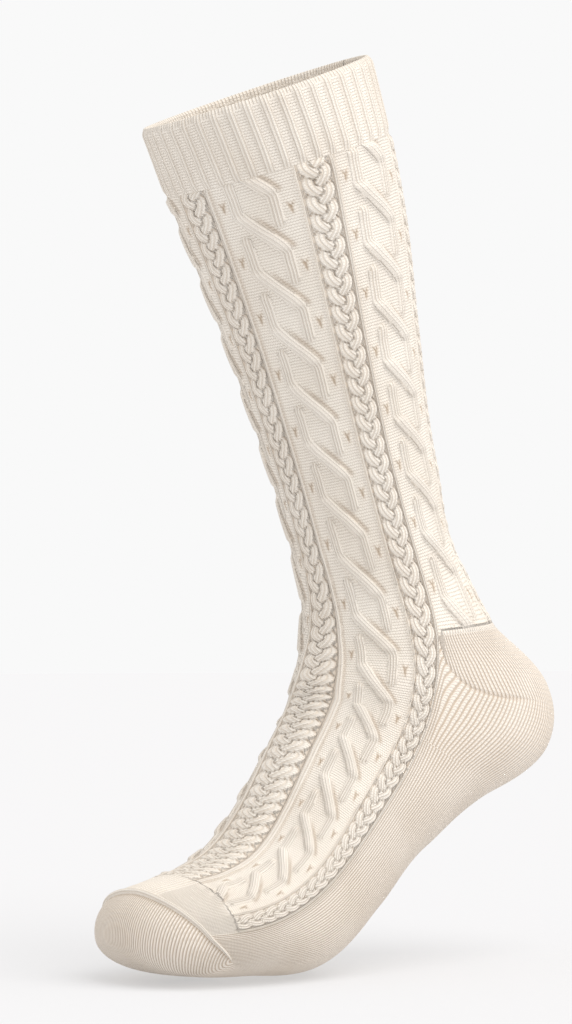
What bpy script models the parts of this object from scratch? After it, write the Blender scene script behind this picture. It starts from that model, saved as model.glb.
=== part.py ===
# Knee-high cable-knit sock, held open as when worn, on tiptoe. Metres, +Z up.
# The origin is the middle of the leg opening. The toes point to -X, and XZ is the mirror plane.
# Every piece is a stretch of one knitted wall, laid over the same form: a middle line that runs
# down the leg, round the heel and along the foot, with a section table that gives its shape.

from collections import namedtuple
import math

import bmesh
import bpy
from mathutils import Vector

LEG_LENGTH = 0.225  # from the leg opening to the ankle, along the middle line
LEG_DEPTH = 0.100  # front to back
LEG_WIDTH = 0.092
HEEL_LENGTH = 0.044  # the turn of the heel, along the middle line
HEEL_DEPTH = 0.122  # from the front of the ankle to the back of the heel
HEEL_WIDTH = 0.076
FOOT_LENGTH = 0.134  # from the end of the heel to the toes, along the middle line
FOOT_DEPTH = 0.074  # instep to sole
FOOT_WIDTH = 0.084
TOE_REACH = 0.018  # how far the rounded end stands beyond the last section

WALL = 0.0022  # thickness of the knit
GAP = 0.0004  # between two pieces, along the sock and round it
CUFF_HEIGHT = 0.029
RIB_COUNT = 40
RIB_RISE = 0.0009
RIB_SHARE = 0.6  # of the space from one rib to the next
EDGE_ROLL = 0.0016  # the cuff's rim draws in over this height
BRAID_COUNT = 5
BRAID_WIDTH = math.radians(24)  # round the leg
BRAID_RISE = 0.0011
PLAIN_START = math.radians(84)  # the plain heel and sole begin here, from the front
TOE_SEAM_SETBACK = 0.0095  # from the tip of the toes back to the seam, at the top
TOE_SEAM_DROP = 0.029  # how much further back the seam's line runs under the toes
TOE_SEAM_BEND = 1.4
TOE_SEAM_END = math.radians(118)
TOE_SEAM_WIDTH = 0.0026
TOE_SEAM_RISE = 0.0010
TOE_SEAM_CUT = 0.97  # the seam stops at this share of the turn, before it thins to an edge
SOLE_SQUARE = 2.5  # exponent of the sole's rounded outline; 2 is an ellipse
TOE_SQUARE = 2.3  # the same for the end of the toes, seen from the side

Zone = namedtuple("Zone", "start length depth width")
ZONES = {
    "leg": Zone(0.0, LEG_LENGTH, LEG_DEPTH, LEG_WIDTH),
    "heel": Zone(LEG_LENGTH, HEEL_LENGTH, HEEL_DEPTH, HEEL_WIDTH),
    "foot": Zone(LEG_LENGTH + HEEL_LENGTH, FOOT_LENGTH, FOOT_DEPTH, FOOT_WIDTH),
}
BODY_LENGTH = LEG_LENGTH + HEEL_LENGTH + FOOT_LENGTH
TIP = BODY_LENGTH + TOE_REACH

# One row a section. along is a share of the zone's length; lean is the middle line's angle from
# straight down towards the toes, in degrees; front and back are shares of the zone's depth, and
# side is a share of its width, all from the middle line.
Row = namedtuple("Row", "name zone along lean front back side")
ROWS = (
    Row("mouth", "leg", 0.000, -22.5, 0.442, 0.545, 0.491),
    Row("cuff_end", "leg", 0.129, -20.0, 0.412, 0.518, 0.498),
    Row("upper_calf", "leg", 0.258, -18.3, 0.377, 0.504, 0.462),
    Row("calf", "leg", 0.480, -17.6, 0.321, 0.434, 0.399),
    Row("shin", "leg", 0.716, -18.7, 0.292, 0.358, 0.360),
    Row("above_ankle", "leg", 0.911, -15.2, 0.302, 0.351, 0.378),
    Row("ankle", "leg", 1.000, -4.5, 0.327, 0.504, 0.409),
    Row("heel_top", "heel", 0.318, 4.8, 0.284, 0.668, 0.503),
    Row("heel_back", "heel", 0.636, 12.8, 0.298, 0.703, 0.499),
    Row("heel_under", "heel", 1.000, 26.7, 0.301, 0.460, 0.491),
    Row("instep", "foot", 0.179, 40.6, 0.477, 0.522, 0.450),
    Row("arch", "foot", 0.418, 47.1, 0.378, 0.470, 0.471),
    Row("ball", "foot", 0.642, 60.8, 0.303, 0.446, 0.499),
    Row("toe_joint", "foot", 0.791, 73.6, 0.295, 0.299, 0.496),
    Row("toes", "foot", 0.916, 84.7, 0.288, 0.234, 0.456),
    Row("toe_end", "foot", 1.000, 89.2, 0.264, 0.204, 0.407),
)
LINE_STEPS = 240  # points on the middle line
NORMAL_STEP = 0.0002  # spacing of the points that a surface normal is worked out from
HEEL_ROWS = 9  # rows of cells along the heel, and beside it along the instep
SOLE_ROWS = 8


def curve_through(stations, values):
    """A smooth curve through the table's values: a function of the distance along the sock."""
    spans = [b - a for a, b in zip(stations, stations[1:])]
    slopes = [(b - a) / span for a, b, span in zip(values, values[1:], spans)]
    tangents = [slopes[0]]
    for i in range(1, len(slopes)):
        weighed = slopes[i - 1] * spans[i] + slopes[i] * spans[i - 1]
        tangents.append(weighed / (spans[i] + spans[i - 1]))
    tangents.append(slopes[-1])

    def value(along):
        i = 0
        while i < len(spans) - 1 and along > stations[i + 1]:
            i += 1
        t = (along - stations[i]) / spans[i]
        if t > 1:
            return values[-1] + tangents[-1] * (along - stations[-1])
        start = (1 + 2 * t) * (1 - t) ** 2 * values[i] + t * (1 - t) ** 2 * spans[i] * tangents[i]
        end = t * t * (3 - 2 * t) * values[i + 1] + t * t * (t - 1) * spans[i] * tangents[i + 1]
        return start + end

    return value


def station(row):
    zone = ZONES[row.zone]
    return zone.start + row.along * zone.length


STATIONS = [station(row) for row in ROWS]
lean_at = curve_through(STATIONS, [math.radians(row.lean) for row in ROWS])
front_at = curve_through(STATIONS, [row.front * ZONES[row.zone].depth for row in ROWS])
back_at = curve_through(STATIONS, [row.back * ZONES[row.zone].depth for row in ROWS])
side_at = curve_through(STATIONS, [row.side * ZONES[row.zone].width for row in ROWS])


def onward(along):
    """The middle line's direction."""
    lean = lean_at(min(along, BODY_LENGTH))
    return Vector((-math.sin(lean), 0, -math.cos(lean)))


def forward(along):
    """Square to the middle line, towards the shin, the instep and the tops of the toes."""
    lean = lean_at(min(along, BODY_LENGTH))
    return Vector((-math.cos(lean), 0, math.sin(lean)))


def middle_line():
    """Points on the middle line, evenly spaced from the mouth to the last section."""
    step = BODY_LENGTH / LINE_STEPS
    points = [forward(0) * (back_at(0) - front_at(0)) / 2]
    for i in range(LINE_STEPS):
        points.append(points[-1] + onward((i + 0.5) * step) * step)
    return points


LINE = middle_line()


def middle(along):
    place = min(along, BODY_LENGTH) / BODY_LENGTH * LINE_STEPS
    i = min(int(place), LINE_STEPS - 1)
    point = LINE[i].lerp(LINE[i + 1], place - i)
    return point + onward(along) * max(0, along - BODY_LENGTH)


def end_rounding(along):
    """1 along the sock, falling to 0 at the tip of the toes."""
    share = min(1, max(0, (along - BODY_LENGTH) / TOE_REACH))
    return (1 - share**TOE_SQUARE) ** (1 / TOE_SQUARE)


def squareness(along):
    """The exponent of the lower half's outline: round at the heel, flatter under the foot."""
    flat = (along - LEG_LENGTH) / (ZONES["foot"].start + FOOT_LENGTH / 2 - LEG_LENGTH)
    return 2 + (SOLE_SQUARE - 2) * min(1, max(0, flat))


def on_form(along, turn):
    """The point this far along the sock and this far round it from the front."""
    across, ahead = math.sin(turn), math.cos(turn)
    power = squareness(along) if ahead < 0 else 2
    scale = (abs(across) ** power + abs(ahead) ** power) ** (-1 / power) * end_rounding(along)
    depth = (front_at(along) if ahead > 0 else back_at(along)) * ahead * scale
    side = Vector((0, -side_at(along) * across * scale, 0))
    return middle(along) + forward(along) * depth + side


def outward(along, turn):
    """The form's surface normal."""
    if along > TIP - NORMAL_STEP:
        return onward(along)
    before = max(0, along - NORMAL_STEP)
    bend = NORMAL_STEP / side_at(0)
    down = on_form(along + NORMAL_STEP, turn) - on_form(before, turn)
    around = on_form(along, turn + bend) - on_form(along, turn - bend)
    return down.cross(around).normalized()


def on_sock(along, turn, rise):
    """A point on the form, raised from it by rise."""
    along = min(along, TIP)
    return on_form(along, turn) + outward(along, turn) * rise


def toe_seam_at(turn):
    """How far along the sock the middle of the toe seam runs."""
    under = ((1 - math.cos(turn)) / 2) ** TOE_SEAM_BEND
    return TIP - TOE_SEAM_SETBACK - TOE_SEAM_DROP * under


def toe_seam_width(turn):
    """The seam thins to nothing at its two ends, beside the toes."""
    share = min(1, abs(math.remainder(turn, math.tau)) / TOE_SEAM_END)
    return TOE_SEAM_WIDTH * math.sqrt(1 - share**4)


def foot_end(turn):
    return toe_seam_at(turn) - toe_seam_width(turn) / 2 - GAP


def cap_start(turn):
    return toe_seam_at(turn) + toe_seam_width(turn) / 2 + GAP


def rib_rise(share, turn):
    """Ribs stand up from the cuff; the rim rolls in softly at the mouth."""
    phase = turn * RIB_COUNT / math.tau % 1
    rib = RIB_RISE if abs(phase - 0.5) < RIB_SHARE / 2 else 0
    roll = max(0, 1 - share * CUFF_HEIGHT / EDGE_ROLL)
    return rib * (1 - roll / 2) - RIB_RISE * roll


def braid_rise(turn):
    """Plaited columns stand up between the panels, the first one down the shin."""
    pitch = math.tau / BRAID_COUNT
    off = abs(math.remainder(turn, pitch)) / (BRAID_WIDTH / 2)
    return BRAID_RISE * min(1, max(0, 2 * (1 - off)))


def slab(around, lengthwise, closed):
    """A flat block of grid cells, one deep, 0 to 1 in X (round), Y (along) and Z (thickness)."""
    mesh = bmesh.new()
    bmesh.ops.create_grid(mesh, x_segments=around, y_segments=lengthwise, size=0.5)
    lifted = bmesh.ops.extrude_face_region(mesh, geom=mesh.faces[:])["geom"]
    top = [item for item in lifted if isinstance(item, bmesh.types.BMVert)]
    bmesh.ops.translate(mesh, verts=top, vec=(0, 0, 1))
    bmesh.ops.translate(mesh, verts=mesh.verts[:], vec=(0.5, 0.5, 0))
    if closed:
        ends = [face for face in mesh.faces if on_one_end(face)]
        bmesh.ops.delete(mesh, geom=ends, context="FACES")
    return mesh


def on_one_end(face):
    xs = [vert.co.x for vert in face.verts]
    return max(xs) < 0.0001 or min(xs) > 0.9999


def knit_piece(name, colour, around, lengthwise, place, closed=False):
    """A piece of knitted wall: each grid point goes where place says, in or out of the wall."""
    mesh = slab(around, lengthwise, closed)
    for vert in mesh.verts:
        vert.co = place(vert.co.x, vert.co.y, vert.co.z)
    bmesh.ops.remove_doubles(mesh, verts=mesh.verts[:], dist=0.00001)
    bmesh.ops.recalc_face_normals(mesh, faces=mesh.faces[:])
    data = bpy.data.meshes.new(name)
    mesh.to_mesh(data)
    mesh.free()
    data.shade_smooth()
    data.set_sharp_from_angle(angle=math.radians(50))
    data.materials.append(yarn(name + "_knit", colour))
    piece = bpy.data.objects.new(name, data)
    SOCK.objects.link(piece)
    return piece


def yarn(name, colour):
    """Combed yarn, off-white and without gloss."""
    material = bpy.data.materials.new(name)
    material.use_nodes = True
    shader = material.node_tree.nodes["Principled BSDF"]
    shader.inputs["Base Color"].default_value = (*colour, 1)
    shader.inputs["Roughness"].default_value = 0.9
    shader.inputs["Metallic"].default_value = 0
    return material


def wall_rise(inner, rise):
    return rise - WALL if inner < 0.5 else rise


def between(start, end, share):
    return start + (end - start) * share


def side_turn(along, share, start, end):
    """A turn between two borders that each keep half a gap."""
    gap = GAP / 2 / side_at(min(along, BODY_LENGTH))
    return between(start + gap, end - gap, share)


def cuff_place(x, y, z):
    turn = x * math.tau
    rise = wall_rise(z, rib_rise(y, turn))
    return on_sock(between(0, CUFF_HEIGHT, y), turn, rise)


def leg_place(x, y, z):
    along = between(CUFF_HEIGHT + GAP, LEG_LENGTH, y)
    turn = x * math.tau
    return on_sock(along, turn, wall_rise(z, braid_rise(turn)))


def heel_place(x, y, z):
    along = between(LEG_LENGTH + GAP, LEG_LENGTH + HEEL_LENGTH, y)
    turn = side_turn(along, x, PLAIN_START, math.tau - PLAIN_START)
    return on_sock(along, turn, wall_rise(z, 0))


def instep_place(x, y, z):
    """Its rows lie beside the heel's and the sole's, so the borders bend alike."""
    row = y * (HEEL_ROWS + SOLE_ROWS)
    heel_end = LEG_LENGTH + HEEL_LENGTH
    end = foot_end(between(-PLAIN_START, PLAIN_START, x))
    if row < HEEL_ROWS + 0.5:
        along = between(LEG_LENGTH + GAP, heel_end, row / HEEL_ROWS)
    else:
        along = between(heel_end + GAP, end, (row - HEEL_ROWS) / SOLE_ROWS)
    turn = side_turn(along, x, -PLAIN_START, PLAIN_START)
    return on_sock(along, turn, wall_rise(z, braid_rise(turn)))


def sole_place(x, y, z):
    rough_turn = between(PLAIN_START, math.tau - PLAIN_START, x)
    along = between(LEG_LENGTH + HEEL_LENGTH + GAP, foot_end(rough_turn), y)
    turn = side_turn(along, x, PLAIN_START, math.tau - PLAIN_START)
    return on_sock(along, turn, wall_rise(z, 0))


def toe_cap_place(x, y, z):
    turn = x * math.tau
    along = between(cap_start(turn), TIP, math.sin(y * math.pi / 2))
    return on_sock(along, turn, wall_rise(z, 0))


def toe_seam_place(x, y, z):
    turn = between(-TOE_SEAM_END, TOE_SEAM_END, x) * TOE_SEAM_CUT
    half = toe_seam_width(turn) / 2
    along = toe_seam_at(turn) + between(-half, half, y)
    crest = 1 - (2 * y - 1) ** 2
    return on_sock(along, turn, wall_rise(z, TOE_SEAM_RISE * crest))


for old in list(bpy.data.objects):
    bpy.data.objects.remove(old, do_unlink=True)
SOCK = bpy.data.collections.new("long_sock")
bpy.context.scene.collection.children.link(SOCK)

CREAM = (0.80, 0.74, 0.67)
PLAIN_CREAM = (0.78, 0.71, 0.63)

knit_piece("cuff", CREAM, RIB_COUNT * 3, 3, cuff_place, closed=True)
knit_piece("leg", CREAM, BRAID_COUNT * 12, 14, leg_place, closed=True)
knit_piece("heel", PLAIN_CREAM, 32, HEEL_ROWS, heel_place)
knit_piece("instep", CREAM, 28, HEEL_ROWS + SOLE_ROWS, instep_place)
knit_piece("sole", PLAIN_CREAM, 32, SOLE_ROWS, sole_place)
knit_piece("toe_cap", PLAIN_CREAM, 40, 6, toe_cap_place, closed=True)
knit_piece("toe_seam", CREAM, 30, 2, toe_seam_place)
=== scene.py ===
import math

import bpy
import numpy as np
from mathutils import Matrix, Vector


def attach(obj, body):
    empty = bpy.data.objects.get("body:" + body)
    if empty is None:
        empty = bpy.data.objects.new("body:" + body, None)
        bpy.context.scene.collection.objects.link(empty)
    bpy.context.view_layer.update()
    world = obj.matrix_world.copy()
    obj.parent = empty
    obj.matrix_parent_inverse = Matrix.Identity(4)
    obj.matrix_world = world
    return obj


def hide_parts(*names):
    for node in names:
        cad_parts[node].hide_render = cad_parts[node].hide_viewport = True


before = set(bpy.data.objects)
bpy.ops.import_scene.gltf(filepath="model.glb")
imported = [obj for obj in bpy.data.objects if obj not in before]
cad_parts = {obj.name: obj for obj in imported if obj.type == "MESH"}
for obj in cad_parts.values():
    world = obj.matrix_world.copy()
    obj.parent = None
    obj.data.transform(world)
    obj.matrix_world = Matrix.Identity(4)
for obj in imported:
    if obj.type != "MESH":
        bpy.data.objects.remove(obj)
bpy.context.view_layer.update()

# The sock's own form, in metres: a middle line down the leg, round the heel and along the foot.
# Places on the knit are given by how far along that line they lie and by their turn round it,
# which is 0 down the shin and the instep and grows towards the side that faces the camera.
sockForm = {
    "zones": {  # start, length, depth front to back, width
        "leg": (0.0, 0.225, 0.100, 0.092),
        "heel": (0.225, 0.044, 0.122, 0.076),
        "foot": (0.269, 0.134, 0.074, 0.084),
    },
    "sections": (  # zone, share along, lean in degrees, front and back shares of depth, side share
        ("leg", 0.000, -22.5, 0.442, 0.545, 0.491),
        ("leg", 0.129, -20.0, 0.412, 0.518, 0.498),
        ("leg", 0.258, -18.3, 0.377, 0.504, 0.462),
        ("leg", 0.480, -17.6, 0.321, 0.434, 0.399),
        ("leg", 0.716, -18.7, 0.292, 0.358, 0.360),
        ("leg", 0.911, -15.2, 0.302, 0.351, 0.378),
        ("leg", 1.000, -4.5, 0.327, 0.504, 0.409),
        ("heel", 0.318, 4.8, 0.284, 0.668, 0.503),
        ("heel", 0.636, 12.8, 0.298, 0.703, 0.499),
        ("heel", 1.000, 26.7, 0.301, 0.460, 0.491),
        ("foot", 0.179, 40.6, 0.477, 0.522, 0.450),
        ("foot", 0.418, 47.1, 0.378, 0.470, 0.471),
        ("foot", 0.642, 60.8, 0.303, 0.446, 0.499),
        ("foot", 0.791, 73.6, 0.295, 0.299, 0.496),
        ("foot", 0.916, 84.7, 0.288, 0.234, 0.456),
        ("foot", 1.000, 89.2, 0.264, 0.204, 0.407),
    ),
    "bodyLength": 0.403,
    "toeReach": 0.018,
    "toeSquare": 2.3,
    "soleSquare": 2.5,
    "wall": 0.0022,
}


def curveThrough(stations, values):
    spans = np.diff(stations)
    slopes = np.diff(values) / spans
    tangents = np.empty(len(values))
    tangents[0], tangents[-1] = slopes[0], slopes[-1]
    tangents[1:-1] = (slopes[:-1] * spans[1:] + slopes[1:] * spans[:-1]) / (spans[1:] + spans[:-1])

    def value(along):
        i = np.clip(np.searchsorted(stations, along, side="left") - 1, 0, len(spans) - 1)
        t = (along - stations[i]) / spans[i]
        start = (1 + 2 * t) * (1 - t) ** 2 * values[i] + t * (1 - t) ** 2 * spans[i] * tangents[i]
        end = t * t * (3 - 2 * t) * values[i + 1] + t * t * (t - 1) * spans[i] * tangents[i + 1]
        return np.where(t > 1, values[-1] + tangents[-1] * (along - stations[-1]), start + end)

    return value


zones = sockForm["zones"]  # the form's curves follow from these
zoneStart = {name: zone[0] for name, zone in zones.items()}
rows = sockForm["sections"]
stations = np.array([zones[r[0]][0] + r[1] * zones[r[0]][1] for r in rows])
leanAt = curveThrough(stations, np.radians([r[2] for r in rows]))
frontAt = curveThrough(stations, np.array([r[3] * zones[r[0]][2] for r in rows]))
backAt = curveThrough(stations, np.array([r[4] * zones[r[0]][2] for r in rows]))
sideAt = curveThrough(stations, np.array([r[5] * zones[r[0]][3] for r in rows]))
bodyLength = sockForm["bodyLength"]
tip = bodyLength + sockForm["toeReach"]


def onwardAt(along):
    lean = leanAt(np.minimum(along, bodyLength))
    return np.stack([-np.sin(lean), np.zeros_like(lean), -np.cos(lean)], -1)


def forwardAt(along):
    lean = leanAt(np.minimum(along, bodyLength))
    return np.stack([-np.cos(lean), np.zeros_like(lean), np.sin(lean)], -1)


lineSteps = 240
lineStep = bodyLength / lineSteps
firstPoint = forwardAt(np.array(0.0)) * (backAt(np.array(0.0)) - frontAt(np.array(0.0))) / 2
strides = onwardAt((np.arange(lineSteps) + 0.5) * lineStep) * lineStep
middleLine = firstPoint + np.vstack([np.zeros(3), np.cumsum(strides, 0)])


def middleAt(along):
    at = np.linspace(0, bodyLength, lineSteps + 1)
    inside = np.minimum(along, bodyLength)
    point = np.stack([np.interp(inside, at, middleLine[:, i]) for i in range(3)], -1)
    return point + onwardAt(along) * np.maximum(0, along - bodyLength)[..., None]


def onForm(along, turn):
    ahead, across = np.cos(turn), np.sin(turn)
    flat = np.clip((along - 0.225) / (0.269 + 0.067 - 0.225), 0, 1)
    power = np.where(ahead < 0, 2 + (sockForm["soleSquare"] - 2) * flat, 2)
    beyond = np.clip((along - bodyLength) / sockForm["toeReach"], 0, 1)
    rounding = (1 - beyond ** sockForm["toeSquare"]) ** (1 / sockForm["toeSquare"])
    scale = (np.abs(across) ** power + np.abs(ahead) ** power) ** (-1 / power) * rounding
    depth = np.where(ahead > 0, frontAt(along), backAt(along)) * ahead * scale
    point = middleAt(along) + forwardAt(along) * depth[..., None]
    point[..., 1] -= sideAt(along) * across * scale
    return point


def outwardAt(along, turn):
    nearTip = along > tip - 0.0002
    before = np.clip(along - 0.0002, 0, tip - 0.0006)
    after = np.minimum(along + 0.0002, tip - 0.0002)
    down = onForm(after, turn) - onForm(before, turn)
    mid = np.minimum(along, tip - 0.0004)
    around = onForm(mid, turn + 0.004) - onForm(mid, turn - 0.004)
    normal = np.cross(down, around)
    normal /= np.maximum(np.linalg.norm(normal, axis=-1, keepdims=True), 1e-12)
    return np.where(nearTip[..., None], onwardAt(along), normal)


def onSock(along, turn, rise):
    along = np.minimum(along, tip)
    return onForm(along, turn) + outwardAt(along, turn) * rise[..., None]


def smooth(low, high, value):
    t = np.clip((value - low) / (high - low), 0, 1)
    return t * t * (3 - 2 * t)


toeSeam = {
    "setback": 0.0095,  # from the tip of the toes, at the top
    "drop": 0.029,  # how much further back it runs at the sides
    "bend": 1.4,
    "end": math.radians(118),
    "width": 0.0026,
    "rise": 0.0013,
}


def toeSeamAt(turn):
    under = ((1 - np.cos(turn)) / 2) ** toeSeam["bend"]
    return tip - toeSeam["setback"] - toeSeam["drop"] * under


def toeSeamWidth(turn):
    wrapped = (turn + math.pi) % math.tau - math.pi
    share = np.minimum(1, np.abs(wrapped) / toeSeam["end"])
    return toeSeam["width"] * np.sqrt(1 - share**4)


# The stitch plan. 200 wales go round; five repeats of one plaited column and one lattice panel.
# Wales are numbered by a pattern turn that follows the columns where they widen on the instep.
cablePlan = {
    "repeat": 72.0,  # degrees of pattern turn
    "plaitHalf": 12.0,  # half a plaited column with its two edge ribs
    "waleTurn": 1.8,  # degrees to one wale, about 1.35 mm at the calf
    "coursesPerPeriod": 20,  # about 1.17 mm each
    # how far down the sock each lattice period starts, in mm
    "periodStarts": (
        28.4, 51.7, 75.1, 98.5, 121.9, 145, 168, 193, 221.5,
        249.5, 273, 294, 314, 333, 353, 371.5, 390,
    ),
    "firstPeriod": 23.3,  # mm, above the first start
    "lastPeriod": 18.5,  # mm, past the last one
    # mm down the sock, edge of the front plait, and edge of the near plait, in degrees
    "columnEdges": (
        (0, 12, 60), (180, 12, 60.5), (201, 14, 61), (223, 17, 63), (235, 20, 66),
        (265, 26, 69), (290, 26, 67), (320, 25, 66), (391, 24, 66),
    ),
    "strandHalf": 0.078,  # half a strand, as a share of the panel
    "strandLeft": 0.275,
    "strandRight": 0.715,
    "strandStraight": 0.58,  # straight run, in periods
    "strandSlant": 0.85,
    "strandRise": 0.0012,
    "plaitRise": 0.0013,
    "ribRise": 0.0008,
    "groundDip": 0.0005,
    "ribAt": 11.4,  # degrees from the middle of the plait to the edge rib
    "ribWale": 1.35,  # degrees to one wale of the edge rib
    "plaitEdge": 9.3,  # degrees from the middle of the plait to the edge of its strands
    "cableEnd": (0.3865, 0.3955),  # where the relief sinks into the plain band before the toes
    "heelFade": (0.2205, 0.2250),  # and where it sinks above the heel
    "calm": 0.45,  # how much flatter the plaits lie on the foot
}

# One plait strand swings from side to side, and lies over or under the others in turn.
plaitPlan = {
    "turnsPerPeriod": 3.2 / 3,
    "swing": 0.56,
    "strandHalf": 0.47,
    "crossingSpread": 0.06,  # wider where it crosses the middle
    "roundness": 2.4,
    "crown": 0.62,
    "dive": 0.36,
    "creaseWidth": 0.13,
    "creaseDip": 0.25,
}

# The small knots beside each lattice strand, bumps notched in a Y with painted shade along the Y: share
# across the panel, share of the period.
knotPlan = {
    "places": ((0.13, 0.43), (0.885, 0.70)),
    "panelWidth": 36,  # mm
    "periodHeight": 23.3,  # mm
    "bumpSize": (2.0, 3.2),  # mm across and down
    "lineWidth": 0.55,
    "yNotchReach": 2.4,
    "bumpRise": 0.5,
}


def patternTurn(along, turn):
    degrees = np.degrees(turn)
    degrees = (degrees + 180) % 360 - 180
    table = np.array(cablePlan["columnEdges"], float)
    first = np.interp(along * 1000, table[:, 0], table[:, 1])
    second = np.interp(along * 1000, table[:, 0], table[:, 2])
    size = np.abs(degrees)
    half, repeat = cablePlan["plaitHalf"], cablePlan["repeat"]
    plainStart = repeat + half
    inner = size / first * half
    middle = half + (size - first) / (second - first) * (repeat - 2 * half)
    outer = repeat - half + (size - second) / (plainStart - second) * (2 * half)
    warped = np.where(size < plainStart, outer, size)
    warped = np.where(size < second, middle, warped)
    warped = np.where(size < first, inner, warped)
    return np.sign(degrees) * warped


def periodAt(along):
    starts = np.array(cablePlan["periodStarts"])
    count = np.arange(len(starts), dtype=float)
    mm = along * 1000
    value = np.interp(mm, starts, count)
    value = np.where(mm < starts[0], (mm - starts[0]) / cablePlan["firstPeriod"], value)
    return np.where(mm > starts[-1], count[-1] + (mm - starts[-1]) / cablePlan["lastPeriod"], value)


def plaitRelief(across, period):
    # three strands that cross in turn: height 0 to 1, strand wale and crease, which dips the relief and is
    # painted as shade where strands cross
    tallest = np.full(across.shape, -1.0)
    second = np.full(across.shape, -1.0)
    wale = np.zeros(across.shape)
    for k in range(3):
        swing = math.tau * (period * plaitPlan["turnsPerPeriod"] + k / 3)
        centre = plaitPlan["swing"] * np.sin(swing)
        strandHalf = plaitPlan["strandHalf"] + plaitPlan["crossingSpread"] * np.cos(swing) ** 2
        offset = (across - centre) / strandHalf
        crown = np.sqrt(np.clip(1 - np.abs(offset) ** plaitPlan["roundness"], 0, 1))
        height = plaitPlan["crown"] * crown - plaitPlan["dive"] * np.sin(2 * swing)
        height = np.where(np.abs(offset) < 1, height, -1)
        isTop = height > tallest
        second = np.where(isTop, tallest, np.maximum(second, height))
        wale = np.where(isTop, offset * 1.5 + 0.5, wale)
        tallest = np.where(isTop, height, tallest)
    # where one strand dips under another: a real dip in the relief, and painted shade in the colour
    creaseShade = np.exp(-(((tallest - np.maximum(second, 0.02)) / plaitPlan["creaseWidth"]) ** 2))
    return np.maximum(tallest, 0) - plaitPlan["creaseDip"] * creaseShade, wale, creaseShade


def latticeRelief(across, period):
    # strands that start closed, run straight, slant over and run straight again
    height = np.zeros(across.shape)
    wale = np.zeros(across.shape)
    share = np.zeros(across.shape)
    creaseShade = np.zeros(across.shape)
    left, right = cablePlan["strandLeft"], cablePlan["strandRight"]
    straight, slant = cablePlan["strandStraight"], cablePlan["strandSlant"]
    half = cablePlan["strandHalf"]
    newest = np.floor(period)
    for back in (1, 0):
        t = period - (newest - back)
        part = np.clip((t - straight) / slant, 0, 1)
        eased = 0.55 * part + 0.45 * part * part * (3 - 2 * part)
        centre = left + (right - left) * eased
        onSlant = smooth(0.0, 0.16, part) * (1 - smooth(0.84, 1.0, part))
        width = half * (1 + 0.42 * onSlant)
        offset = (across - centre) / width
        cap = np.minimum(t / 0.13, (2 - t) / 0.13)
        cap = np.sqrt(np.clip(1 - (1 - np.clip(cap, 0, 1)) ** 2, 0, 1))
        inside = np.clip(1 - np.abs(offset / np.maximum(cap, 0.05)) ** 2.2, 0, 1)
        swell = np.exp(-(((t - 0.09) / 0.12) ** 2)) * 0.45
        rise = inside**0.7 * (0.36 + 0.64 * onSlant + swell) * cap
        over = rise > height
        wale = np.where(over, offset * 2, wale)
        share = np.maximum(share, smooth(0.02, 0.22, rise) * (1 + 0.5 * onSlant))
        height = np.maximum(height, rise)
        edge = np.exp(-(((offset - 1.22) / 0.30) ** 2))  # shade under the strand's far side
        edge = edge * smooth(0.05, 0.4, part) * (1 - smooth(0.85, 1.0, part))
        creaseShade = np.maximum(creaseShade, edge * 0.55)
        # painted shade across the closed top of each strand
        topEdgeShade = np.exp(-((offset / 1.1) ** 4)) * np.exp(-(((t + 0.035) / 0.03) ** 2))
        creaseShade = np.maximum(creaseShade, topEdgeShade * 0.7)
    bumpWide, bumpTall = knotPlan["bumpSize"]
    reach = knotPlan["yNotchReach"]
    for place, at in knotPlan["places"]:
        dx = (across - place) * knotPlan["panelWidth"]
        dy = (period - np.round(period - at) - at) * knotPlan["periodHeight"]
        bump = np.exp(-((dx / bumpWide) ** 2 + (dy / bumpTall) ** 2))
        side = 1 if place < 0.5 else -1
        arm = np.minimum(np.abs(dx - side * 0.9 * (dy + 0.2)), np.abs(dx + side * 0.55 * (dy + 0.2)))
        stem = np.abs(dx + side * 0.15 * dy)
        # the Y line beside each knot notches the bump and is also painted as shade
        yNotchShade = np.where(dy < 0, arm, stem)
        yNotchShade = np.exp(-((yNotchShade / knotPlan["lineWidth"]) ** 2))
        yNotchShade = yNotchShade * np.exp(-((dy / reach) ** 4)) * np.exp(-((dx / reach) ** 4))
        height = np.maximum(height, bump * knotPlan["bumpRise"] * (1 - yNotchShade))
        creaseShade = np.maximum(creaseShade, yNotchShade)
        share = np.maximum(share, bump * knotPlan["bumpRise"])
    return height, wale, share, creaseShade


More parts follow.
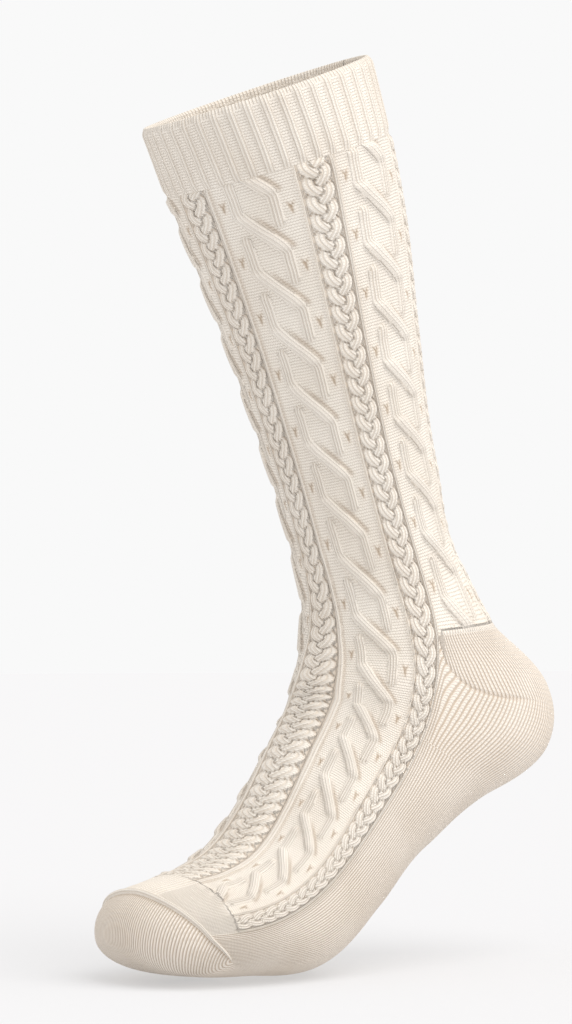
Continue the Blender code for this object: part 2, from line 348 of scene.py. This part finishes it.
def cableRelief(along, turn):
    # rise above the form, and what the yarn needs to know: strand wale, knit share, and painted shade in the
    # creases
    angle = patternTurn(along, turn)
    period = periodAt(along)
    half = cablePlan["plaitHalf"]
    local = (angle + half) % cablePlan["repeat"] - half
    inPlait = np.abs(local) < half
    fromRib = np.abs(local) - cablePlan["ribAt"]
    across = local / cablePlan["plaitEdge"]
    plait, plaitWale, plaitCreaseShade = plaitRelief(np.clip(across, -1.2, 1.2), period)
    inside = 1 - smooth(0.92, 1.04, np.abs(across))
    rib = np.exp(-((fromRib / 1.30) ** 2))
    # painted shade in the gutters either side of each edge rib
    ribGutterShade = np.exp(-(((fromRib + 1.8) / 0.7) ** 2)) + np.exp(-(((fromRib - 2.0) / 0.6) ** 2))
    latticeAcross = np.clip((local - half) / (cablePlan["repeat"] - 2 * half), 0, 1)
    lattice, latticeWale, latticeShare, latticeCreaseShade = latticeRelief(latticeAcross, period)
    edgeFade = smooth(0.0, 0.03, latticeAcross) * (1 - smooth(0.97, 1.0, latticeAcross))
    plaitRise = cablePlan["plaitRise"] * plait * inside
    latticeRise = cablePlan["strandRise"] * lattice - cablePlan["groundDip"] * (1 - latticeShare) * edgeFade
    rise = np.where(inPlait, plaitRise, latticeRise) + cablePlan["ribRise"] * rib
    wale = np.where(inPlait, plaitWale, latticeWale)
    nearRib = np.abs(fromRib - 0.2) < 2.0
    wale = np.where(nearRib, fromRib / cablePlan["ribWale"], wale)
    share = np.where(inPlait, 1.0, latticeShare)
    share = np.maximum(share, np.minimum(1, rib * 1.6))
    creaseShade = np.where(inPlait, plaitCreaseShade * inside * 0.85, latticeCreaseShade * edgeFade)
    creaseShade = np.maximum(creaseShade, ribGutterShade * 0.45)
    fade = 1 - smooth(*cablePlan["cableEnd"], along)
    heelSide = smooth(86, 90, np.abs(np.degrees((turn + math.pi) % math.tau - math.pi)))
    onLeg = along < zoneStart["heel"] + 0.0003
    fade = fade * (1 - heelSide * smooth(*cablePlan["heelFade"], along) * onLeg)
    calm = 1 - cablePlan["calm"] * smooth(0.27, 0.36, along) * inPlait
    rise = rise * calm
    plainWale = angle / cablePlan["waleTurn"]
    wale = np.where(fade > 0.5, wale, plainWale)
    return rise * fade, wale, 1 - (1 - share) * fade, creaseShade * fade


print("form and stitch plan ready")


# Materials: every colour is given as the eye sees it and turned to linear here.
def linearColour(code):
    values = [int(code[i : i + 2], 16) / 255 for i in (1, 3, 5)]
    linear = [v / 12.92 if v <= 0.04045 else ((v + 0.055) / 1.055) ** 2.4 for v in values]
    return (*linear, 1.0)


def addNode(tree, kind, links=(), **settings):
    node = tree.nodes.new("ShaderNode" + kind)
    for name, value in settings.items():
        setattr(node, name, value)
    for socket, source in dict(links).items():
        if isinstance(source, bpy.types.NodeSocket):
            tree.links.new(source, node.inputs[socket])
        else:
            node.inputs[socket].default_value = source
    return node


yarnLook = {
    "light": "#FBF4EA",  # crest of a stitch
    "deep": "#CDBBA5",  # painted shade between stitches
    "creaseShade": "#B59F87",  # painted shade in the folds between strands and in other creases
    "bumpDepth": 0.00042,
    # how strongly the painted shade between stitches shows, on purl and on knit
    "purlBite": 0.72,
    "knitBite": 0.42,
    "slantBite": 0.16,  # the raised slants get the least painted shade between stitches
    "wobble": 0.5,  # how far wales and courses stray, in stitches
}


def knitMaterial(name, light, deep, knitBite):
    # combed cotton and wool yarn, knitted: matt, soft at the edges, each stitch a small shadow
    material = bpy.data.materials.new(name)
    material.use_nodes = True
    tree = material.node_tree
    shader = tree.nodes["Principled BSDF"]
    shader.inputs["Roughness"].default_value = 0.92
    shader.inputs["Specular IOR Level"].default_value = 0.18
    shader.inputs["Sheen Weight"].default_value = 0.25  # the halo of loose fibre
    shader.inputs["Sheen Roughness"].default_value = 0.6
    shader.inputs["Sheen Tint"].default_value = linearColour("#FFF8EE")

    stitches = addNode(tree, "UVMap", uv_map="stitches").outputs["UV"]
    split = addNode(tree, "SeparateXYZ", {0: stitches})
    place = addNode(tree, "TexCoord").outputs["Object"]
    # rows and wales stray in waves of about 7 mm, as hand tension does
    stray = addNode(tree, "TexNoise", {"Vector": place, "Scale": 150.0, "Detail": 1.0}).outputs["Fac"]
    wobble = addNode(tree, "Math", {0: stray, 1: 0.5}, operation="SUBTRACT").outputs[0]
    astray = yarnLook["wobble"]
    evenX, evenY = split.outputs["X"], split.outputs["Y"]
    evenStrand = addNode(tree, "Attribute", attribute_name="strandWale").outputs["Fac"]
    waleX = addNode(tree, "Math", {0: wobble, 1: astray, 2: evenX}, operation="MULTIPLY_ADD").outputs[0]
    courseY = addNode(tree, "Math", {0: wobble, 1: astray, 2: evenY}, operation="MULTIPLY_ADD").outputs[0]
    onStrand = addNode(tree, "Math", {0: wobble, 1: astray * 0.6, 2: evenStrand}, operation="MULTIPLY_ADD")
    strandWale = onStrand.outputs[0]
    knitShare = addNode(tree, "Attribute", attribute_name="knitShare").outputs["Fac"]
    creaseShadeShare = addNode(tree, "Attribute", attribute_name="creaseShade").outputs["Fac"]

    # knit: a rib to each wale, with legs that slant to a V
    waleWave = addNode(tree, "Math", {0: strandWale, 1: 0.5}, operation="PINGPONG").outputs[0]
    leg = addNode(tree, "Math", {0: waleWave, 1: 1.1, 2: courseY}, operation="MULTIPLY_ADD").outputs[0]
    legWave = addNode(tree, "Math", {0: leg, 1: 0.5}, operation="PINGPONG").outputs[0]
    soft = {"interpolation_type": "SMOOTHSTEP"}
    waleTall = addNode(tree, "MapRange", {0: waleWave, 1: 0.0, 2: 0.34}, **soft).outputs[0]
    legTall = addNode(tree, "MapRange", {0: legWave, 1: 0.0, 2: 0.40, 3: 0.55, 4: 1.0}, **soft).outputs[0]
    knitHeight = addNode(tree, "Math", {0: waleTall, 1: legTall}, operation="MULTIPLY").outputs[0]

    # purl: short bars laid like bricks, with a dark eye where they meet
    rowNumber = addNode(tree, "Math", {0: courseY}, operation="FLOOR").outputs[0]
    shifted = addNode(tree, "Math", {0: rowNumber, 1: 0.5, 2: waleX}, operation="MULTIPLY_ADD").outputs[0]
    barWave = addNode(tree, "Math", {0: shifted, 1: 0.5}, operation="PINGPONG").outputs[0]
    barTall = addNode(tree, "MapRange", {0: barWave, 1: 0.0, 2: 0.32, 3: 0.25, 4: 1.0}, **soft).outputs[0]
    rowWave = addNode(tree, "Math", {0: courseY, 1: 0.5}, operation="PINGPONG").outputs[0]
    rowTall = addNode(tree, "MapRange", {0: rowWave, 1: 0.0, 2: 0.34, 3: 0.10, 4: 1.0}, **soft).outputs[0]
    bars = addNode(tree, "Math", {0: barTall, 1: rowTall}, operation="MULTIPLY").outputs[0]
    eyes = addNode(tree, "Math", {0: barTall, 1: rowTall}, operation="MAXIMUM").outputs[0]
    purlHeight = addNode(tree, "Mix", {"Factor": 0.62, "A": bars, "B": eyes}).outputs["Result"]

    height = addNode(tree, "Mix", {"Factor": knitShare, "A": purlHeight, "B": knitHeight}).outputs["Result"]

    # the yarn is a little uneven from stitch to stitch, and in patches of about 26 mm
    uneven = addNode(tree, "TexNoise", {"Vector": place, "Scale": 420.0, "Detail": 2.0}).outputs["Fac"]
    patchy = addNode(tree, "TexNoise", {"Vector": place, "Scale": 38.0, "Detail": 1.0}).outputs["Fac"]
    rough = addNode(tree, "Math", {0: uneven, 1: 0.5, 2: height}, operation="MULTIPLY_ADD").outputs[0]
    bump = addNode(tree, "Bump", {"Strength": 1.0, "Distance": yarnLook["bumpDepth"], "Height": rough})
    tree.links.new(bump.outputs["Normal"], shader.inputs["Normal"])

    # colour: pale yarn on the crests, with painted shade: beige between the stitches, brown in the folds and
    # creases
    flatBite = addNode(tree, "MapRange", {0: knitShare, 3: yarnLook["purlBite"], 4: knitBite}).outputs[0]
    lessBite = knitBite - yarnLook["slantBite"]
    slantBite = addNode(tree, "MapRange", {0: knitShare, 1: 1.0, 2: 1.4, 3: 0.0, 4: lessBite}).outputs[0]
    biteSize = addNode(tree, "Math", {0: flatBite, 1: slantBite}, operation="SUBTRACT").outputs[0]
    # painted shade: the lower the stitch relief, the more of the shade colour
    depth = addNode(tree, "MapRange", {0: height, 1: 0.0, 2: 0.75, 3: 1.0, 4: 0.0}, **soft).outputs[0]
    stitchShadeMix = addNode(tree, "Math", {0: depth, 1: biteSize}, operation="MULTIPLY").outputs[0]
    tone = addNode(tree, "MapRange", {0: patchy, 1: 0.35, 2: 0.65, 3: 0.0, 4: 0.14}).outputs[0]
    shadeAndTone = addNode(tree, "Math", {0: stitchShadeMix, 1: tone}, operation="ADD", use_clamp=True).outputs[0]
    yarn = addNode(tree, "Mix", {"Factor": shadeAndTone}, data_type="RGBA")
    yarn.inputs[6].default_value = linearColour(light)
    yarn.inputs[7].default_value = linearColour(deep)
    # painted shade in the folds and creases, as much as the crease attribute gives
    folded = addNode(tree, "Mix", {"Factor": creaseShadeShare}, data_type="RGBA")
    tree.links.new(yarn.outputs[2], folded.inputs[6])
    folded.inputs[7].default_value = linearColour(yarnLook["creaseShade"])
    tree.links.new(folded.outputs[2], shader.inputs["Base Color"])
    return material


def knitPiece(name, around, layers, place, closed, material, cadNode):
    # a stretch of the knitted wall, from a flat grid wrapped on the sock's form
    bpy.ops.object.select_all(action="DESELECT")
    bpy.ops.mesh.primitive_grid_add(x_subdivisions=around, y_subdivisions=layers, size=1)
    piece = bpy.context.object
    piece.name = name
    piece.data.name = name
    if not closed:
        bpy.ops.object.mode_set(mode="EDIT")
        bpy.ops.mesh.select_all(action="SELECT")
        bpy.ops.mesh.extrude_region_move(TRANSFORM_OT_translate={"value": (0, 0, -1)})
        bpy.ops.object.mode_set(mode="OBJECT")
    mesh = piece.data
    flat = np.empty(len(mesh.vertices) * 3)
    mesh.vertices.foreach_get("co", flat)
    flat = flat.reshape(-1, 3)
    xShare, yShare, inner = flat[:, 0] + 0.5, flat[:, 1] + 0.5, flat[:, 2] < -0.5
    points, waleX, courseY, strandWale, knitShare, creaseShade = place(xShare, yShare, inner)
    mesh.vertices.foreach_set("co", points.astype(np.float32).ravel())
    corners = np.empty(len(mesh.loops), np.int32)
    mesh.loops.foreach_get("vertex_index", corners)
    for layer in list(mesh.uv_layers):
        mesh.uv_layers.remove(layer)
    stitches = mesh.uv_layers.new(name="stitches")
    stitches.data.foreach_set("uv", np.stack([waleX, courseY], -1)[corners].astype(np.float32).ravel())
    # the crease attribute carries painted shade for the yarn's colour
    for label, values in (("strandWale", strandWale), ("knitShare", knitShare), ("creaseShade", creaseShade)):
        attribute = mesh.attributes.new(label, "FLOAT", "POINT")
        attribute.data.foreach_set("value", values.astype(np.float32))
    bpy.ops.object.mode_set(mode="EDIT")
    bpy.ops.mesh.select_all(action="SELECT")
    bpy.ops.mesh.remove_doubles(threshold=0.00001)
    bpy.ops.mesh.normals_make_consistent(inside=False)
    bpy.ops.object.mode_set(mode="OBJECT")
    bpy.ops.object.shade_smooth_by_angle(angle=math.radians(70))
    mesh.materials.clear()
    mesh.materials.append(material)
    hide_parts(cadNode)
    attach(piece, "root")
    print(name, "built,", len(mesh.polygons), "faces")
    return piece


# each yarn: its pale colour, the colour of painted shade between stitches, and how strongly that shade shows
# on knit
ribbedYarn = knitMaterial("ribbedCottonWoolKnit", yarnLook["light"], yarnLook["deep"], 0.42)
cableYarn = knitMaterial("cableCottonWoolKnit", yarnLook["light"], yarnLook["deep"], 0.42)
plainYarn = knitMaterial("plainCottonWoolKnit", "#F7EEE3", "#C3AF98", 0.75)
seamYarn = knitMaterial("linkedSeamYarn", "#FBF4EA", "#D2C2AE", 0.4)

print("yarns ready")

wall = sockForm["wall"]
joinGap = 0.0002  # between the leg's end and the heel zone's start

cuffPlan = {
    "height": 0.0292,
    "ribs": 40,
    "ribRise": 0.0010,
    "roll": 0.0018,  # the rim's rounding, down the outside
    "lip": 0.0011,  # and how far it stands above the mouth
    "outerRows": 30,
    "innerRows": 22,
}


def ringRows(start, end, outerRows, innerRows, lip):
    # rows of a tube's wall: down the outside, round the end, up the inside, round the lip
    outer = [(a, 0.0) for a in np.linspace(start, end, outerRows + 1)]
    inner = [(a, 1.0) for a in np.linspace(end, start, innerRows + 1)]
    lipRows = [(start - lip * math.sin(math.pi * (k / 5)), 1 - k / 5) for k in range(1, 5)] if lip else []
    table = outer + inner + lipRows + [outer[0]]
    return np.array(table)


cuffRows = ringRows(0.0, cuffPlan["height"], cuffPlan["outerRows"], cuffPlan["innerRows"], cuffPlan["lip"])


def cuffPlace(x, y, inner):
    row = np.rint(y * (len(cuffRows) - 1)).astype(int)
    along, depth = cuffRows[row, 0], cuffRows[row, 1]
    turn = x * math.tau + math.pi
    phase = (turn * cuffPlan["ribs"] / math.tau) % 1
    ribShape = 1 - smooth(0.17, 0.27, np.abs(phase - 0.5))
    roll = np.clip(1 - along / cuffPlan["roll"], 0, 1)
    endFade = smooth(0, 0.0035, cuffPlan["height"] - along)
    outerRise = (cuffPlan["ribRise"] * ribShape - 0.0002) * (1 - 0.55 * roll) * endFade - 0.0004 * roll**2
    innerRise = -wall - 0.0006 * (1 - ribShape) * smooth(-0.001, 0.003, along)
    rise = outerRise + (innerRise - outerRise) * depth
    point = onForm(np.maximum(along, 0), turn) + outwardAt(np.maximum(along, 0), turn) * rise[..., None]
    point += onwardAt(np.zeros_like(along)) * np.minimum(along, 0)[..., None]
    waleX = x * 200 + 0.5
    outside = depth < 0.5
    knit = np.where(outside, ribShape, 1 - ribShape)
    knit = np.maximum(knit, 1 - smooth(0.0004, 0.0022, along))
    # painted shade in the grooves beside each rib
    grooveShade = np.exp(-(((np.abs(phase - 0.5) - 0.255) / 0.035) ** 2)) * smooth(0.001, 0.004, along) * 0.45
    return point, waleX, along * 1000 / 1.17, waleX, knit, grooveShade


legPlan = {"end": zoneStart["heel"] + joinGap, "outerRows": 236, "innerRows": 14}
legRows = ringRows(cuffPlan["height"], legPlan["end"], legPlan["outerRows"], legPlan["innerRows"], 0)


def legPlace(x, y, inner):
    row = np.rint(y * (len(legRows) - 1)).astype(int)
    along, depth = legRows[row, 0], legRows[row, 1]
    turn = x * math.tau + math.pi
    rise, wale, share, creaseShade = cableRelief(along, turn)
    rise = rise * smooth(0, 0.002, along - cuffPlan["height"])
    rise = np.where(depth > 0.5, -wall, rise)
    waleX = (x - 0.5) * 200
    outside = depth < 0.5
    courseY = periodAt(along) * cablePlan["coursesPerPeriod"]
    share = np.where(outside, share, 1)
    wale = np.where(outside, wale, waleX)
    return onSock(along, turn, rise), waleX, courseY, wale, share, creaseShade * outside


instepEdge = cablePlan["repeat"] + cablePlan["plaitHalf"]  # degrees from the shin to the sole's border


def instepPlace(x, y, inner):
    turn = np.radians(instepEdge * (2 * x - 1))
    end = toeSeamAt(turn) - toeSeamWidth(turn) / 2
    along = legPlan["end"] + (end - legPlan["end"]) * y
    rise, wale, share, creaseShade = cableRelief(along, turn)
    rise = np.where(inner, -wall, rise)
    waleX = patternTurn(along, turn) / cablePlan["waleTurn"]
    courseY = periodAt(along) * cablePlan["coursesPerPeriod"]
    return onSock(along, turn, rise), waleX, courseY, wale, share, creaseShade * ~inner


# The heel's two halves meet on a slanting line at each side, where their wales change direction.
heelPlan = {
    "joinTurns": (84, 87, 90, 93, 96, 100, 106, 112, 118, 125, 132),
    "joinAt": (225, 230.5, 235.5, 239.5, 242.3, 244.3, 245.3, 245.4, 245, 244.5, 244),
    "joinEnd": 132,
    "joinDip": 0.0004,
    "goreDepth": 0.014,  # how far from the join the wales still lean
    "leanAbove": 0.42,
    "leanBelow": 0.30,
}
plainKnit = {"wale": 1.08, "course": 1.15, "soleRadius": 34}  # mm


def plainWaleAt(turn):
    side = np.where(turn > math.pi, math.tau - turn, turn)
    return np.sign(math.pi - turn) * (math.pi - side) * plainKnit["soleRadius"] / plainKnit["wale"]


def backTurn(x):
    # the heel and the sole run from one border of the instep round to the other
    return np.radians(instepEdge + 2 * (180 - instepEdge) * x)


def heelPlace(x, y, inner):
    along = legPlan["end"] + zones["heel"][1] * y
    turn = backTurn(x)
    folded = np.degrees(np.where(turn > math.pi, math.tau - turn, turn))
    joinAt = np.interp(folded, heelPlan["joinTurns"], heelPlan["joinAt"]) / 1000
    below = along - joinAt
    line = np.exp(-((below / 0.0006) ** 2)) * (1 - smooth(118, heelPlan["joinEnd"], folded))
    side = np.where(turn > math.pi, -1, 1)
    gore = heelPlan["goreDepth"]
    distance = gore * (1 - np.exp(-np.abs(below) / gore))
    lean = np.where(below > 0, heelPlan["leanBelow"], heelPlan["leanAbove"]) * (1 - smooth(125, 165, folded))
    wale = plainWaleAt(turn) - side * distance * 1000 / plainKnit["wale"] * lean
    rise = np.where(inner, -wall, -heelPlan["joinDip"] * line)
    courseY = along * 1000 / plainKnit["course"]
    # the join line is a small dip, and is also painted darker as shade
    return onSock(along, turn, rise), wale, courseY, wale, np.ones_like(x), line * 0.35 * ~inner


def solePlace(x, y, inner):
    turn = backTurn(x)
    start = zoneStart["foot"] + joinGap
    end = toeSeamAt(turn) - toeSeamWidth(turn) / 2
    along = start + (end - start) * y
    wale = plainWaleAt(turn)
    courseY = along * 1000 / plainKnit["course"]
    rise = np.where(inner, -wall, 0.0)
    return onSock(along, turn, rise), wale, courseY, wale, np.ones_like(x), np.zeros_like(x)


capWale = 0.036  # radians to one wale of the toe cap; its wales fan out from the seam's ends
endTurn = np.array([toeSeam["end"]])
seamEnd = onForm(toeSeamAt(endTurn), endTurn)[0]


def capPlace(x, y, inner):
    layer = np.abs(2 * y - 1)
    isInner = y < 0.5
    turn = x * math.tau + math.pi
    start = toeSeamAt(turn) + toeSeamWidth(turn) / 2
    along = start + (tip - start) * np.sin(layer * math.pi / 2)
    point = onSock(along, turn, np.where(isInner, -wall, 0.0))
    dx, dz = point[:, 0] - seamEnd[0], point[:, 2] - seamEnd[2]
    reach = np.hypot(dx, dz)
    wale = (math.pi / 2 - np.arctan2(reach, np.abs(point[:, 1]))) * np.sign(point[:, 1]) / capWale
    # painted shade in a narrow band of the cap beside the toe seam
    seamSideShade = np.exp(-(((along - start) / 0.0009) ** 2)) * smooth(0.0004, 0.0010, toeSeamWidth(turn)) * 0.5
    courseY = along * 1000 / plainKnit["course"]
    return point, wale, courseY, wale, np.ones_like(x), seamSideShade * ~isInner


def seamPlace(x, y, inner):
    turn = (2 * x - 1) * toeSeam["end"] * 0.985
    half = toeSeamWidth(turn) / 2
    along = toeSeamAt(turn) + half * (2 * y - 1)
    crest = (1 - (2 * y - 1) ** 2) * toeSeam["rise"] * smooth(0, 0.35, half / 0.0013)
    rise = np.where(inner, -wall, crest)
    wale = (y - 0.5) * 3  # three wales wide
    courseY = x * 110  # linked stitches from end to end
    return onSock(along, turn, rise), wale, courseY, wale, np.ones_like(x), np.zeros_like(x)


cuffKnit = knitPiece("cuffKnit", 400, len(cuffRows) - 1, cuffPlace, True, ribbedYarn, "cuff")
legKnit = knitPiece("legKnit", 360, len(legRows) - 1, legPlace, True, cableYarn, "leg")
instepKnit = knitPiece("instepKnit", 200, 212, instepPlace, False, cableYarn, "instep")
heelKnit = knitPiece("heelKnit", 192, 88, heelPlace, False, plainYarn, "heel")
soleKnit = knitPiece("soleKnit", 144, 110, solePlace, False, plainYarn, "sole")
toeCapKnit = knitPiece("toeCapKnit", 200, 90, capPlace, True, plainYarn, "toe_cap")
toeSeamKnit = knitPiece("toeSeamKnit", 220, 8, seamPlace, False, seamYarn, "toe_seam")

# Studio: a pale floor, an even white surround and one broad soft light from above.
studio = {
    "floorHeight": -0.3494,
    "floorColour": "#A6A6A8",
    "floorGlow": 0.45,  # lit from below, so that the shadow stays faint
    "surround": 0.80,
    "backdrop": "#F9F9F9",
    "sunStrength": 1.9,
    "sunSize": 60,
    "sunAzimuth": 15,
    "sunElevation": 55,
}


def floorMaterial():
    # opal acrylic lit from below: a pale floor with only a faint shadow
    material = bpy.data.materials.new("opalAcrylicSheet")
    material.use_nodes = True
    shader = material.node_tree.nodes["Principled BSDF"]
    shader.inputs["Base Color"].default_value = linearColour(studio["floorColour"])
    shader.inputs["Roughness"].default_value = 1.0
    shader.inputs["Specular IOR Level"].default_value = 0.0
    shader.inputs["Emission Color"].default_value = linearColour("#FFFFFF")
    shader.inputs["Emission Strength"].default_value = studio["floorGlow"]
    return material


bpy.ops.object.select_all(action="DESELECT")
bpy.ops.mesh.primitive_plane_add(size=30, location=(0, 0, studio["floorHeight"]))
floorBoard = bpy.context.object
floorBoard.name = "floorBoard"
floorBoard.data.materials.append(floorMaterial())

world = bpy.data.worlds.new("whiteSurround")
world.use_nodes = True
bpy.context.scene.world = world
worldTree = world.node_tree
background = worldTree.nodes["Background"]
background.inputs["Color"].default_value = linearColour("#FFFDFB")
background.inputs["Strength"].default_value = studio["surround"]
seen = addNode(worldTree, "Background", {"Color": linearColour(studio["backdrop"]), "Strength": 1.0})
rays = addNode(worldTree, "LightPath")
bothSurrounds = {0: rays.outputs["Is Camera Ray"], 1: background.outputs[0], 2: seen.outputs[0]}
blend = addNode(worldTree, "MixShader", bothSurrounds)
worldTree.links.new(blend.outputs[0], worldTree.nodes["World Output"].inputs["Surface"])


def directionAt(azimuth, elevation):
    # azimuth 0 lies towards -Y and grows towards +X
    azimuth, elevation = math.radians(azimuth), math.radians(elevation)
    level = math.cos(elevation)
    return Vector((math.sin(azimuth) * level, -math.cos(azimuth) * level, math.sin(elevation)))


towards = directionAt(studio["sunAzimuth"], studio["sunElevation"])
bpy.ops.object.light_add(type="SUN", location=towards * 2)
softLight = bpy.context.object
softLight.name = "softLight"
softLight.rotation_euler = towards.to_track_quat("Z", "Y").to_euler()
softLight.data.energy = studio["sunStrength"]
softLight.data.angle = math.radians(studio["sunSize"])
softLight.data.color = (1.0, 0.985, 0.965)

# Camera: the photograph's view, from low in front of the toes' side.
view = {
    "azimuth": -36.74,
    "elevation": -2.89,
    "distance": 1.12849,
    "aim": (0.01386, 0, -0.16684),
    "lens": 66.21,
}
fromAim = directionAt(view["azimuth"], view["elevation"])
bpy.ops.object.camera_add(location=Vector(view["aim"]) + fromAim * view["distance"])
camera = bpy.context.object
camera.name = "photoCamera"
camera.rotation_euler = fromAim.to_track_quat("Z", "Y").to_euler()
camera.data.sensor_fit = "VERTICAL"
camera.data.sensor_height = 24
camera.data.lens = view["lens"]
bpy.context.scene.camera = camera
bpy.context.scene.view_settings.view_transform = "Standard"

print("studio ready")
